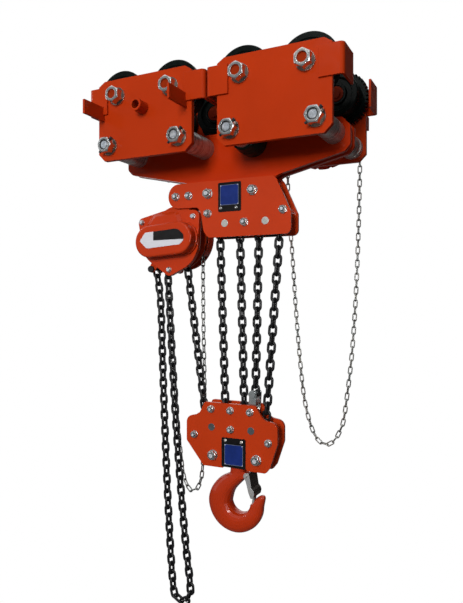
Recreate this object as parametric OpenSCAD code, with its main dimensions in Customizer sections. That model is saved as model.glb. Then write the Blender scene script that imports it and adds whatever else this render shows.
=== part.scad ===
// Chain block with geared trolley: five falls of load chain under a push-and-chain trolley beam.
// X runs along the runway beam, Y across it (the viewer's side is -Y) and Z is up.
// The origin is midway between the two trolleys, on the plane that the wheel treads run on.

/* [Trolley] */
// Distance from the middle of the part to the middle of each trolley
trolley_x = 237; // [232:1:260]
// Length of one side plate
plate_w = 380; // [370:1:400]
// Thickness of a side plate
plate_t = 16; // [12:1:20]
// Distance from the runway's middle to the outer face of a side plate
plate_out = 210; // [205:1:230]
// Height of a side plate's top edge over the running plane
plate_top = 137; // [130:1:150]
// Depth of a side plate's bottom edge under the running plane
plate_drop = 144; // [140:1:160]
// Cut corner of a side plate
plate_chamfer = 25; // [15:1:30]
// Radius of a wheel's tread
tread_r = 76; // [70:1:80]
// Width of a wheel's tread
tread_w = 66; // [50:1:70]
// Width of a wheel's flange or gear rim
rim_w = 22; // [18:1:24]
// Half of the distance between the two wheels on a side plate
wheel_half = 108.5; // [107:0.5:112]
// Radius of a wheel axle's journal
axle_r = 20; // [16:1:22]

/* [Travel drive] */
// Module of the travel gears
gear_module = 4.5; // [4.5:0.1:4.7]
// Teeth on a geared wheel
wheel_teeth = 42; // [42:1:43]
// Teeth on the drive pinion
pinion_teeth = 12; // [12:1:13]
// Radius of the drive shaft
drive_r = 14; // [12:1:16]
// Outer radius of the drive shaft's tube
tube_r = 21; // [19:1:24]
// Length that the tube stands out of its side plate
tube_out = 48; // [44:1:60]
// Distance from a side plate's outer face to the middle of the hand wheel
hand_wheel_out = 90; // [88:1:110]
// Pockets round the trolley's hand wheel
trolley_pockets = 18; // [18:1:18]

/* [End guards] */
// Reach of a guard past the side plate's end
guard_out = 37; // [30:1:40]
// Length of a guard's leg across the runway
guard_leg = 104; // [80:1:110]
// Thickness of a guard
guard_t = 8; // [6:1:10]
// Height of a guard's lower edge over the running plane
guard_low = 19; // [10:1:25]
// Height of a guard
guard_h = 94; // [80:1:100]

/* [Load beam] */
// Depth of the cross shafts under the running plane
shaft_drop = 95; // [92:1:105]
// Half of the distance between a trolley's two cross shafts
shaft_half = 141; // [136:1:145]
// Radius of a cross shaft
shaft_r = 18; // [15:1:20]
// Distance from the middle to the outer face of a beam plate
beam_out = 30; // [29:0.5:32]
// Thickness of a beam plate
beam_t = 16; // [10:1:18]
// Length of the beam from its middle to its end
beam_half = 432; // [425:1:445]
// Radius of the spacer sleeves on the cross shafts
sleeve_r = 37; // [32:1:38]

/* [Frame] */
// Thickness of a frame plate
frame_t = 9; // [8:1:12]
// Depth of the frame's lower edge
frame_bottom = 413; // [410:1:430]
// Depth of the upper sheaves' axis
upper_sheave_drop = 365; // [362:1:370]
// Place of the left upper sheave
upper_left_x = -12.6; // [-14:0.2:-11]
// Place of the right upper sheave
upper_right_x = 141.4; // [140:0.2:143]

/* [Hoist] */
// Place of the load sheave's axis along the beam
hoist_x = -242; // [-244:1:-240]
// Depth of the load sheave's axis
hoist_drop = 400; // [398:1:402]
// Thickness of a hoist side plate
hoist_t = 6; // [4:1:7]
// Distance from the middle to the gear cover's flange
cover_face = 48; // [46:1:52]
// Distance from the middle to the gear cover's raised boss
boss_face = 95; // [85:1:100]
// Pockets round the hoist's hand wheel
hoist_pockets = 10; // [10:1:10]
// Distance from the middle to the hoist's hand chain
hoist_chain_y = 75; // [74:1:80]

/* [Hook block] */
// Depth of the lower sheaves' axis
lower_sheave_drop = 1084.5; // [1070:0.5:1100]
// Place of the left lower sheave
lower_left_x = -67; // [-69:1:-65]
// Place of the right lower sheave
lower_right_x = 86.4; // [85:0.2:88]
// Distance from the middle to the outer face of a block plate
block_out = 36; // [35:0.5:38]
// Thickness of a block plate
block_t = 10; // [8:1:11]
// Place of the hook's shank
hook_x = 24; // [22:1:26]
// Radius of the hook's shank in the crosshead
shank_r = 19; // [16:1:21]

/* [Chains] */
// Pitch of the load chain
load_pitch = 30; // [30:0.5:30]
// Wire of the load chain
load_wire = 10; // [10:0.5:10]
// Pitch of the hand chains
hand_pitch = 25; // [25:0.5:25]
// Wire of the hand chains
hand_wire = 5; // [5:0.1:5]

/* [Fits] */
// Gap between chain links, and between pieces that turn beside each other
seat_gap = 0.3; // [0.2:0.05:0.4]
// Radial clearance of a running fit
running = 0.05; // [0.02:0.01:0.09]

/* [Hidden] */
$fn = 48;

paint = "orangered";
zinc = "lightsteelblue";
iron = "#30343a";
black = "#202020";

plate_in = plate_out - plate_t;
washer_t = 6;
nut_h = 32;
nut_af = 50;
thread_r = 16.5;
axle_z = tread_r;
wheel_pitch_r = gear_module * wheel_teeth / 2;
pinion_pitch_r = gear_module * pinion_teeth / 2;
mesh_gap = 0.3;
centre_distance = wheel_pitch_r + pinion_pitch_r + mesh_gap;
drive_z = axle_z - sqrt(pow(centre_distance, 2) - pow(wheel_half, 2));
drive_y = plate_out + hand_wheel_out;
guard_shift = 14;
arm_half = 168;
arm_t = 8;
arm_h = 48;
arm_out = 108;
wheel_seat = 6;
wheel_inner = wheel_seat + rim_w + tread_w;
beam_in = beam_out - beam_t;
frame_in = beam_out;
frame_out = frame_in + frame_t;
block_in = block_out - block_t;
hoist_z = -hoist_drop;
upper_z = -upper_sheave_drop;
lower_z = -lower_sheave_drop;
hoist_out = frame_in - seat_gap;

// Unit vector of v
function unit(v) = v / norm(v);

// Points of a fillet of radius r at corner b, between a and c
function fillet(a, b, c, r, n) =
  let (u = unit(a - b), v = unit(c - b), half = acos(max(-1, min(1, u * v))) / 2)
  let (p = b + u * r / tan(half), q = b + v * r / tan(half), m = b + unit(u + v) * r / sin(half))
  let (a0 = atan2(p[1] - m[1], p[0] - m[0]), a1 = atan2(q[1] - m[1], q[0] - m[0]))
  let (turn = a1 - a0 > 180 ? a1 - a0 - 360 : a1 - a0 < -180 ? a1 - a0 + 360 : a1 - a0)
  [for (i = [0:n]) m + r * [cos(a0 + turn * i / n), sin(a0 + turn * i / n)]];

// Outline through corners [x, z, radius]
function rounded(c, n = 6) =
  let (k = len(c))
  [for (i = [0:k - 1]) each
    let (a = c[(i + k - 1) % k], b = c[i], d = c[(i + 1) % k])
    b[2] > 0 ? fillet([a[0], a[1]], [b[0], b[1]], [d[0], d[1]], b[2], n) : [[b[0], b[1]]]];

// Outline turned half round about the vertical axis at x
function turned(c, x) = [for (i = [len(c) - 1:-1:0]) [2 * x - c[i][0], c[i][1], c[i][2]]];

// An outline in X and Z, solid from y0 to y1
module slab(y0, y1) {
  translate([0, y1, 0]) rotate([90, 0, 0]) linear_extrude(y1 - y0) children();
}

// A round bar along Y
module bar_y(r, y0, y1, x = 0, z = 0) {
  translate([x, y0, z]) rotate([-90, 0, 0]) cylinder(r = r, h = y1 - y0);
}

// A hexagon across the flats af, along Y
module hex_y(af, y0, y1, x = 0, z = 0, turn = 0) {
  translate([x, y0, z]) rotate([-90, 0, 0]) rotate([0, 0, turn])
    cylinder(r = af / sqrt(3), h = y1 - y0, $fn = 6);
}

// Side 1 mirrors what is built for the near side to the far side
module on_side(far) {
  if (far) mirror([0, 1, 0]) children();
  else children();
}

// The eight wheel axles and the four ends of the cross shafts on each side
module each_axle() {
  for (far = [false, true], tx = [-trolley_x, trolley_x], sx = [-1, 1])
    on_side(far) translate([tx + sx * wheel_half, 0, axle_z]) children();
}
module each_shaft_end() {
  for (far = [false, true], tx = [-trolley_x, trolley_x], sx = [-1, 1])
    on_side(far) translate([tx + sx * shaft_half, 0, -shaft_drop]) children();
}

/* Trolley side plates */

function plate_corners() = [
  [-plate_w / 2, plate_top - 16, 0], [-plate_w / 2 + plate_chamfer, plate_top, 0],
  [plate_w / 2 - plate_chamfer, plate_top, 0], [plate_w / 2, plate_top - 16, 0],
  [plate_w / 2, -plate_drop + plate_chamfer, 0], [plate_w / 2 - plate_chamfer, -plate_drop, 0],
  [-plate_w / 2 + plate_chamfer, -plate_drop, 0], [-plate_w / 2, -plate_drop + plate_chamfer, 0]];

module side_plate(tx, far, driven) {
  color(paint) on_side(far) translate([tx, 0, 0]) difference() {
    slab(-plate_out, -plate_in) polygon(rounded(plate_corners()));
    for (sx = [-1, 1]) {
      bar_y(thread_r + 0.5, -plate_out - 1, -plate_in + 1, sx * wheel_half, axle_z);
      bar_y(shaft_r + 0.5, -plate_out - 1, -plate_in + 1, sx * shaft_half, -shaft_drop);
    }
    if (driven) bar_y(tube_r, -plate_out - 1, -plate_in + 1, 0, drive_z);
  }
}
module near_left_side_plate() { side_plate(-trolley_x, false, true); }
module near_right_side_plate() { side_plate(trolley_x, false, false); }
module far_left_side_plate() { side_plate(-trolley_x, true, false); }
module far_right_side_plate() { side_plate(trolley_x, true, true); }

// Folded guard at one end of a side plate: a face welded on the plate and a leg before the wheel
module end_guard() {
  overlap = 41;
  x0 = plate_w / 2 - overlap;
  x1 = plate_w / 2 + guard_out;
  bend = 6;
  translate([0, 0, guard_low]) linear_extrude(guard_h) difference() {
    polygon(rounded([
      [x0, -plate_out, 0], [x0, -plate_out - guard_t, 1], [x1, -plate_out - guard_t, bend + guard_t],
      [x1, -plate_out - guard_t + guard_leg, 1], [x1 - guard_t, -plate_out - guard_t + guard_leg, 1],
      [x1 - guard_t, -plate_out, bend]]));
  }
}
module end_guards() {
  color(paint) for (far = [false, true], tx = [-trolley_x, trolley_x], sx = [-1, 1]) {
    shift = !far && tx < 0 && sx > 0 ? guard_shift : 0;
    on_side(far) translate([tx + shift, 0, 0]) mirror([sx < 0 ? 1 : 0, 0, 0]) end_guard();
  }
}

// Flat arms that keep the hand chain on its wheel, and the tube that carries the drive shaft
module drive_bracket() {
  for (sx = [-1, 1]) difference() {
    translate([sx * arm_half - arm_t / 2, -plate_out - arm_out, drive_z - arm_h / 2]) cube([arm_t, arm_out, arm_h]);
    translate([sx * arm_half - 20, -plate_out - guard_t, guard_low]) cube([40, guard_t + 1, guard_h]);
  }
  translate([0, 0, drive_z]) difference() {
    bar_y(tube_r, -plate_out - tube_out, -plate_in);
    bar_y(drive_r + running, -plate_out - tube_out - 1, -plate_in + 1);
  }
}
module drive_brackets() {
  color(paint) {
    translate([-trolley_x, 0, 0]) drive_bracket();
    on_side(true) translate([trolley_x, 0, 0]) drive_bracket();
  }
}

/* Trolley wheels and axles */

// One flank of an involute tooth: points [radius, angle], from the root to the tip
function flank(base_r, root_r, tip_r, pitch_r, half_angle, n) =
  let (involute = function (r) r <= base_r ? 0 : tan(acos(base_r / r)) * 180 / PI - acos(base_r / r))
  let (at_pitch = involute(pitch_r), start = max(root_r, base_r))
  concat(
    root_r < base_r ? [[root_r, half_angle + at_pitch]] : [],
    [for (i = [0:n]) let (r = start + (tip_r - start) * i / n) [r, half_angle + at_pitch - involute(r)]]);

// Outline of a spur gear with a tooth centred on angle 0
function gear_points(teeth, tip_add, root_sub, backlash) =
  let (pitch_r = gear_module * teeth / 2, base_r = pitch_r * cos(20))
  let (half_angle = 90 / teeth - backlash / 2 / pitch_r * 180 / PI)
  let (side = flank(base_r, pitch_r - root_sub, pitch_r + tip_add, pitch_r, half_angle, 3), k = len(side))
  [for (t = [0:teeth - 1]) each concat(
    [for (i = [0:k - 1]) side[i][0] * [cos(t * 360 / teeth - side[i][1]), sin(t * 360 / teeth - side[i][1])]],
    [for (i = [k - 1:-1:0]) side[i][0] * [cos(t * 360 / teeth + side[i][1]), sin(t * 360 / teeth + side[i][1])]])];

tooth_backlash = 0.5;
wheel_tip = 3.3;
pinion_phase = 0;
// Angle of the line from the pinion to the wheel at side sx, and the wheel's phase in mesh
function mesh_angle(sx) = atan2(axle_z - drive_z, sx * wheel_half);
function wheel_phase(sx) =
  let (a = mesh_angle(sx), pw = 360 / wheel_teeth, pp = 360 / pinion_teeth)
  a + 180 + pw * (0.5 - (pinion_phase - a) / pp);

// Section of a wheel: [radius, distance inwards from the side plate]
function wheel_section(rim_r) = [
  [axle_r + running, wheel_seat], [34, wheel_seat], [36, wheel_seat + 3], [rim_r - 22, wheel_seat + 3],
  [rim_r - 18, wheel_seat], [rim_r - 2, wheel_seat], [rim_r, wheel_seat + 2], [rim_r, wheel_seat + rim_w - 3],
  [rim_r - 3, wheel_seat + rim_w], [tread_r, wheel_seat + rim_w], [tread_r, wheel_inner - 3],
  [tread_r - 3, wheel_inner], [58, wheel_inner], [54, wheel_inner - 9], [38, wheel_inner - 9],
  [35, wheel_inner], [29, wheel_inner], [29, wheel_inner - 5], [axle_r + running, wheel_inner - 5]];

module plain_wheel() {
  rotate([90, 0, 0]) rotate_extrude($fn = 72) polygon(wheel_section(wheel_pitch_r + wheel_tip));
}
module geared_wheel(phase) {
  rotate([90, 0, 0]) {
    rotate_extrude($fn = 72) polygon(wheel_section(wheel_pitch_r - 5.8));
    translate([0, 0, wheel_seat]) difference() {
      linear_extrude(rim_w) rotate(phase) polygon(gear_points(wheel_teeth, wheel_tip, 5.6, tooth_backlash));
      translate([0, 0, -1]) cylinder(r = wheel_pitch_r - 12, h = rim_w + 2);
    }
  }
}
// The near side is built with the section's second coordinate running towards +Y
module wheel(tx, sx, far, geared) {
  color(iron) translate([tx + sx * wheel_half, 0, axle_z]) on_side(far) translate([0, -plate_in, 0])
    mirror([0, 1, 0]) {
      if (geared) geared_wheel(wheel_phase(sx));
      else plain_wheel();
    }
}
module near_left_outer_wheel() { wheel(-trolley_x, -1, false, false); }
module near_left_inner_wheel() { wheel(-trolley_x, 1, false, false); }
module near_right_inner_wheel() { wheel(trolley_x, -1, false, false); }
module near_right_outer_wheel() { wheel(trolley_x, 1, false, false); }
module far_left_outer_wheel() { wheel(-trolley_x, -1, true, false); }
module far_left_inner_wheel() { wheel(-trolley_x, 1, true, false); }
module far_right_inner_wheel() { wheel(trolley_x, -1, true, true); }
module far_right_outer_wheel() { wheel(trolley_x, 1, true, true); }

// Axle: threaded end outside the plate, a collar inside it, the journal and a reduced inner end
module wheel_axles() {
  color(zinc) each_axle() {
    bar_y(thread_r, -plate_out - washer_t - nut_h + 8, -plate_in);
    bar_y(28, -plate_in, -plate_in + wheel_seat - seat_gap);
    bar_y(axle_r, -plate_in + wheel_seat - seat_gap, -plate_in + wheel_inner - 5 + seat_gap);
    bar_y(16, -plate_in + wheel_inner - 5 + seat_gap, -plate_in + wheel_inner + 6);
  }
}

module chamfered_nut(turn) {
  intersection() {
    hex_y(nut_af, -plate_out - washer_t - nut_h, -plate_out - washer_t, turn = turn);
    translate([0, -plate_out - washer_t, 0]) rotate([90, 0, 0]) union() {
      cylinder(r = nut_af, h = nut_h - 6);
      translate([0, 0, nut_h - 6]) cylinder(r1 = nut_af / 2 + 7, r2 = nut_af / 2 - 1, h = 6);
    }
  }
}
pin_turn = 42;
pin_r = 4.2;
module pin_hole() {
  translate([0, -plate_out - washer_t - nut_h + 12, 0]) rotate([0, -pin_turn, 0]) rotate([0, 90, 0])
    cylinder(r = pin_r + 0.2, h = 100, center = true);
}
module trolley_nuts() {
  color(zinc) {
    each_axle() difference() {
      chamfered_nut(30);
      bar_y(thread_r, -plate_out - washer_t - nut_h - 1, -plate_out);
    }
    each_shaft_end() difference() {
      chamfered_nut(0);
      bar_y(shaft_r, -plate_out - washer_t - nut_h - 1, -plate_out);
      pin_hole();
    }
  }
}
module washer(r_in, r_out = 31) {
  difference() {
    bar_y(r_out, -plate_out - washer_t, -plate_out);
    bar_y(r_in, -plate_out - washer_t - 1, -plate_out + 1);
  }
}
module trolley_washers() {
  color(zinc) {
    each_axle() {
      washer(thread_r);
      difference() {
        bar_y(26, -plate_in + wheel_inner - 5 + seat_gap, -plate_in + wheel_inner);
        bar_y(16, -plate_in + wheel_inner - 6, -plate_in + wheel_inner + 1);
      }
    }
    each_shaft_end() washer(shaft_r);
  }
}
module split_pins() {
  color(black) each_shaft_end() translate([0, -plate_out - washer_t - nut_h + 12, 0]) rotate([0, -pin_turn, 0])
    rotate([0, 90, 0]) {
      cylinder(r = pin_r, h = 70, center = true);
      translate([0, 0, 29]) cylinder(r = 6, h = 6);
    }
}

/* Cross shafts, sleeves and load beam */

module cross_shafts() {
  end = plate_out + washer_t + nut_h - 3;
  color(zinc) for (tx = [-trolley_x, trolley_x], sx = [-1, 1]) translate([tx + sx * shaft_half, 0, -shaft_drop])
    difference() {
      union() {
        bar_y(shaft_r, -end + 4, end - 4);
        for (far = [false, true]) on_side(far) translate([0, -end + 4, 0]) rotate([90, 0, 0])
          cylinder(r1 = shaft_r, r2 = shaft_r - 5, h = 4);
      }
      for (far = [false, true]) on_side(far) pin_hole();
    }
}

ring_count = 3;
ring_t = 9;
module ring(r, y0, y1) {
  difference() {
    bar_y(r, y0, y1);
    bar_y(shaft_r, y0 - 1, y1 + 1);
  }
}
module spacer_sleeves() {
  color(zinc) {
    each_shaft_end() {
      for (i = [0:ring_count - 1])
        ring(sleeve_r + 2, -plate_in + i * ring_t, -plate_in + (i + 1) * ring_t - 0.8);
      ring(sleeve_r, -plate_in + ring_count * ring_t, -beam_out);
    }
    for (tx = [-trolley_x, trolley_x], sx = [-1, 1]) translate([tx + sx * shaft_half, 0, -shaft_drop])
      ring(sleeve_r - 6, -beam_in, beam_in);
  }
}

frame_bolt_places = [[-78.7, -257], [95, -257]];
beam_corners = [
  [-beam_half + 28, -46, 4], [beam_half - 28, -46, 4], [beam_half, -76, 4], [beam_half, -138, 16],
  [beam_half - 20, -158, 16], [170, -214, 40], [150, -290, 12], [-118, -290, 12], [-130, -219, 20],
  [-beam_half + 20, -158, 16], [-beam_half, -138, 16], [-beam_half, -76, 4]];
module beam_plate(y0, y1) {
  color(paint) difference() {
    slab(y0, y1) polygon(rounded(beam_corners));
    for (tx = [-trolley_x, trolley_x], sx = [-1, 1])
      bar_y(shaft_r, y0 - 1, y1 + 1, tx + sx * shaft_half, -shaft_drop);
    for (p = frame_bolt_places) bar_y(frame_bolt_r, y0 - 1, y1 + 1, p[0], p[1]);
  }
}
module beam_near_plate() { beam_plate(-beam_out, -beam_in); }
module beam_far_plate() { beam_plate(beam_in, beam_out); }

/* Travel drive */

collar_r = 19;
module drive_shaft() {
  color(zinc) on_side(true) translate([trolley_x, 0, drive_z]) {
    bar_y(drive_r, -drive_y - 30, -plate_in);
    bar_y(collar_r, -plate_in + seat_gap, -plate_in + 5);
    bar_y(drive_r, -plate_in, -plate_in + 32);
    hex_y(30, -drive_y - 28, -drive_y - 18);
  }
}
module drive_pinion() {
  color(iron) on_side(true) translate([trolley_x, -plate_in + 5, drive_z]) mirror([0, 1, 0])
    rotate([90, 0, 0]) difference() {
      linear_extrude(rim_w + 2) rotate(pinion_phase)
        polygon(gear_points(pinion_teeth, gear_module * 0.95, gear_module * 1.3, tooth_backlash));
      translate([0, 0, -1]) cylinder(r = drive_r, h = rim_w + 4);
    }
}

hand_half = hand_wire * 1.8;
// A chain wheel about Y: hub, web and a grooved rim that clears the chain, with scalloped edges
module chain_wheel(run_r, rim_half, hub_r, hub0, hub1, bore, pockets, holes, hole_r, hole_at) {
  mid_r = sqrt(run_r * run_r - pow((hand_pitch - hand_wire) / 2, 2));
  groove = mid_r - hand_half - 2 * seat_gap;
  rim_r = run_r + hand_half;
  difference() {
    rotate([-90, 0, 0]) rotate_extrude($fn = 96) polygon([
      [bore, hub0], [hub_r, hub0], [hub_r, -4], [groove - 16, -4], [groove - 10, -rim_half],
      [rim_r - 2, -rim_half], [rim_r, -rim_half + 2], [rim_r, -rim_half + 3],
      [groove + 3, -hand_half - seat_gap], [groove, -hand_half - seat_gap],
      [groove, hand_half + seat_gap], [groove + 3, hand_half + seat_gap],
      [rim_r, rim_half - 3], [rim_r, rim_half - 2], [rim_r - 2, rim_half], [groove - 10, rim_half],
      [groove - 16, 4], [hub_r, 4], [hub_r, hub1], [bore, hub1]]);
    for (i = [0:pockets - 1]) rotate([0, i * 360 / pockets, 0])
      bar_y(hand_pitch * 0.3, -rim_half - 1, rim_half + 1, rim_r + hand_pitch * 0.12);
    for (i = [0:holes - 1]) rotate([0, (i + 0.5) * 360 / holes, 0]) bar_y(hole_r, -9, 9, hole_at);
  }
}
// Radius on which crossings alternately a and b apart turn by angle for each pair of links
function chain_run_r(a, b, angle) =
  sqrt(a * a + b * b + 2 * a * b * cos(angle / 2)) / (2 * sin(angle / 2));
function hand_run_r(pockets) = chain_run_r(hand_pitch + hand_wire, hand_pitch - hand_wire, 360 / pockets);

trolley_run_r = hand_run_r(trolley_pockets);
hoist_run_r = hand_run_r(hoist_pockets);
module trolley_hand_wheel() {
  hub_near = -hand_wheel_out + tube_out + seat_gap;
  color(paint) translate([trolley_x, drive_y, drive_z])
    chain_wheel(trolley_run_r, 14, 30, hub_near, 18, drive_r, trolley_pockets, 5, 26, 82);
}

/* Chains */

// A link along Z, in the XZ plane: two half rings and two straight bars
module link(pitch, wire, half_w) {
  r = wire / 2 - seat_gap / 2;
  a = half_w - wire / 2;
  s = pitch / 2 + wire / 2 - a;
  translate([0, 0, s]) rotate([90, 0, 0]) rotate_extrude(angle = 180, $fn = 32)
    translate([a, 0]) circle(r = r, $fn = 20);
  translate([0, 0, -s]) rotate([-90, 0, 0]) rotate_extrude(angle = 180, $fn = 32)
    translate([a, 0]) circle(r = r, $fn = 20);
  translate([a, 0, -s]) cylinder(r = r, h = 2 * s, $fn = 20);
  translate([-a, 0, -s]) cylinder(r = r, h = 2 * s, $fn = 20);
}
// One link between two crossings p and q [x, z], in the plane of the path or across it
module placed_link(p, q, y, across, pitch, wire, half_w) {
  d = q - p;
  translate([(p[0] + q[0]) / 2, y, (p[1] + q[1]) / 2]) rotate([0, atan2(d[0], d[1]), 0])
    rotate([0, 0, across ? 90 : 0]) link(pitch, wire, half_w);
}

function run_lengths(path, i = 1, s = [0]) =
  i == len(path) ? s : run_lengths(path, i + 1, concat(s, [s[i - 1] + norm(path[i] - path[i - 1])]));
function find(s, t, lo, hi) =
  hi - lo < 2 ? lo : let (m = floor((lo + hi) / 2)) s[m] <= t ? find(s, t, m, hi) : find(s, t, lo, m);
function at(path, s, t) =
  let (i = find(s, t, 0, len(path) - 1), u = (t - s[i]) / (s[i + 1] - s[i])) path[i] + u * (path[i + 1] - path[i]);
// The place along the path whose straight distance from p is d
function chord(path, s, p, t, d, n = 5) =
  n == 0 ? t : let (q = at(path, s, t)) chord(path, s, p, t + d - norm(q - p), d, n - 1);
// Places of the crossings, alternately a and b apart, from t until the path ends
function crossings(path, s, t, a, b, out) =
  let (q = chord(path, s, at(path, s, t), t + a, a))
  q > s[len(s) - 1] - 0.001 ? out : crossings(path, s, q, b, a, concat(out, [q]));

// Smooth curve through hand-chosen points
function smooth(c, n = 8) =
  let (k = len(c))
  concat([for (i = [0:k - 2], j = [0:n - 1])
    let (p0 = c[max(i - 1, 0)], p1 = c[i], p2 = c[i + 1], p3 = c[min(i + 2, k - 1)], t = j / n)
    0.5 * (2 * p1 + (p2 - p0) * t + (2 * p0 - 5 * p1 + 4 * p2 - p3) * t * t
      + (3 * p1 - p0 - 3 * p2 + p3) * t * t * t)], [c[k - 1]]);
function arc(cx, cz, r, a0, a1, step = 5) =
  let (n = ceil(abs(a1 - a0) / step)) [for (i = [0:n]) [cx + r * cos(a0 + (a1 - a0) * i / n), cz + r * sin(a0 + (a1 - a0) * i / n)]];

load_half = load_wire * 1.7;
load_run_r = chain_run_r(load_pitch + load_wire, load_pitch - load_wire, 90);
clevis_pin = [88, -960];
// The load chain's whole run: from the clevis up and down over the sheaves, then the slack loop
function load_run() = concat(
  [clevis_pin],
  arc(upper_right_x, upper_z, load_run_r, 180, 0),
  arc(lower_right_x, lower_z, load_run_r, 0, -180),
  arc(upper_left_x, upper_z, load_run_r, 0, 180),
  arc(lower_left_x, lower_z, load_run_r, 0, -180),
  arc(hoist_x, hoist_z, load_run_r, 0, 180),
  [for (p = smooth([
    [hoist_x - load_run_r, hoist_z - 20], [-272, -545], [-254, -835], [-238, -1076], [-218, -1310], [-195, -1536],
    [-178, -1660], [-176, -1722], [-202, -1752], [-232, -1748], [-247, -1715], [-257, -1620], [-272, -1391],
    [-284, -1155], [-294, -914], [-303, -667], [-313, -575], [-327, -505]])) p]);
load_path = load_run();
load_s = run_lengths(load_path);
load_t = crossings(load_path, load_s, 0, load_pitch - load_wire, load_pitch + load_wire, [0]);
// The slack end hangs on a pin through its last upright link
load_last = len(load_t) - 1 - len(load_t) % 2;
anchor_pin = at(load_path, load_s, load_t[load_last]);

module load_chain(part) {
  slack_start = load_s[1 + 4 * len(arc(0, 0, 1, 0, 180))];
  color(black) for (i = [0:load_last - 1]) {
    p = at(load_path, load_s, load_t[i]);
    q = at(load_path, load_s, load_t[i + 1]);
    m = (p + q) / 2;
    slack = load_t[i] > slack_start;
    where = slack || m[1] > upper_z + 1 ? "upper" : m[1] < lower_z - 1 ? "lower" : "falls";
    if (where == part) placed_link(p, q, 0, i % 2 == 1, load_pitch, load_wire, load_half);
  }
}
module load_chain_upper() { load_chain("upper"); }
module load_chain_falls() { load_chain("falls"); }
module load_chain_lower() { load_chain("lower"); }

// A closed hand chain: half round the wheel, then down and up through hand-chosen points
function hand_run(cx, cz, r, hang) = concat(arc(cx, cz, r, 0, 180), smooth(concat([[cx - r, cz - 10]], hang, [[cx + r, cz - 10]])), [[cx + r, cz]]);
module hand_chain(run, y) {
  s = run_lengths(run);
  total = s[len(s) - 1];
  a = hand_pitch - hand_wire;
  b = hand_pitch + hand_wire;
  trial = crossings(run, s, 0, a, b, [0]);
  pairs = round(total / (a + b));
  last = len(trial) > 2 * pairs ? trial[2 * pairs] : total;
  f = 1 + (total - last) / total;
  t = crossings(run, s, 0, a * f, b * f, [0]);
  for (i = [0:2 * pairs - 1]) {
    p = at(run, s, t[i]);
    q = i + 1 < min(len(t), 2 * pairs) ? at(run, s, t[i + 1]) : run[0];
    placed_link(p, q, y, i % 2 == 1, hand_pitch, hand_wire, hand_half);
  }
}
trolley_hang = [[93, -142], [98, -300], [110, -430], [128, -684], [145, -880], [162, -1018], [186, -1112],
  [212, -1166], [245, -1187], [279, -1170], [304, -1127], [318, -1084], [331, -990], [343, -894], [352, -798],
  [362, -652], [371, -454], [378, -207]];
hoist_hang = [[-322, -480], [-318, -555], [-305, -750], [-290, -950], [-268, -1170], [-250, -1302], [-230, -1349],
  [-204, -1366], [-179, -1335], [-167, -1287], [-162, -1200], [-157, -945], [-161, -752], [-163, -560]];
module trolley_hand_chain() {
  color(iron) hand_chain(hand_run(trolley_x, drive_z, trolley_run_r, trolley_hang), drive_y);
}
module hoist_hand_chain() {
  color(zinc) hand_chain(hand_run(hoist_x, hoist_z, hoist_run_r, hoist_hang), hoist_chain_y);
}

/* Sheaves */

// A load-chain sheave about Y: a wide channel for the flat links and a slot for the upright ones
module sheave(bore, half_w, flange_r) {
  floor_r = load_run_r * cos(asin((load_pitch + load_wire) / 2 / load_run_r)) - load_wire / 2 - 0.4;
  core_r = load_run_r - load_half - 1.6;
  slot = load_wire / 2 + 0.4;
  wide = load_half + 0.6;
  rotate([-90, 0, 0]) rotate_extrude($fn = 64) polygon([
    [bore, -half_w], [flange_r - 3, -half_w], [flange_r, -half_w + 3], [load_run_r + 3, -wide],
    [floor_r, -wide], [floor_r, -slot - 1.5], [floor_r - 2, -slot], [core_r, -slot], [core_r, slot],
    [floor_r - 2, slot], [floor_r, slot + 1.5], [floor_r, wide], [load_run_r + 3, wide],
    [flange_r, half_w - 3], [flange_r - 3, half_w], [bore, half_w]]);
}
sheave_half = 22;
sheave_flange = 50;
sheave_pin_r = 13;
module block_sheave(x, z) {
  color(iron) translate([x, 0, z]) sheave(sheave_pin_r + running, sheave_half, sheave_flange);
}
module upper_left_sheave() { block_sheave(upper_left_x, upper_z); }
module upper_right_sheave() { block_sheave(upper_right_x, upper_z); }
module lower_left_sheave() { block_sheave(lower_left_x, lower_z); }
module lower_right_sheave() { block_sheave(lower_right_x, lower_z); }

// Pins stand flush in the plates, with a washer on each side of the sheave
module sheave_pin(x, z, inner, outer) {
  translate([x, 0, z]) {
    bar_y(sheave_pin_r, -outer - 1.5, outer + 1.5);
    for (far = [false, true]) on_side(far) difference() {
      bar_y(22, -inner, -sheave_half - seat_gap);
      bar_y(sheave_pin_r, -inner - 1, -sheave_half);
    }
  }
}
module upper_sheave_pins() {
  color(zinc) for (x = [upper_left_x, upper_right_x]) sheave_pin(x, upper_z, frame_in, frame_out);
}
module block_sheave_pins() {
  color(zinc) for (x = [lower_left_x, lower_right_x]) sheave_pin(x, lower_z, block_in, block_out);
}

/* Bolts through a pair of plates: near nut and washer, far head and washer */

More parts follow.
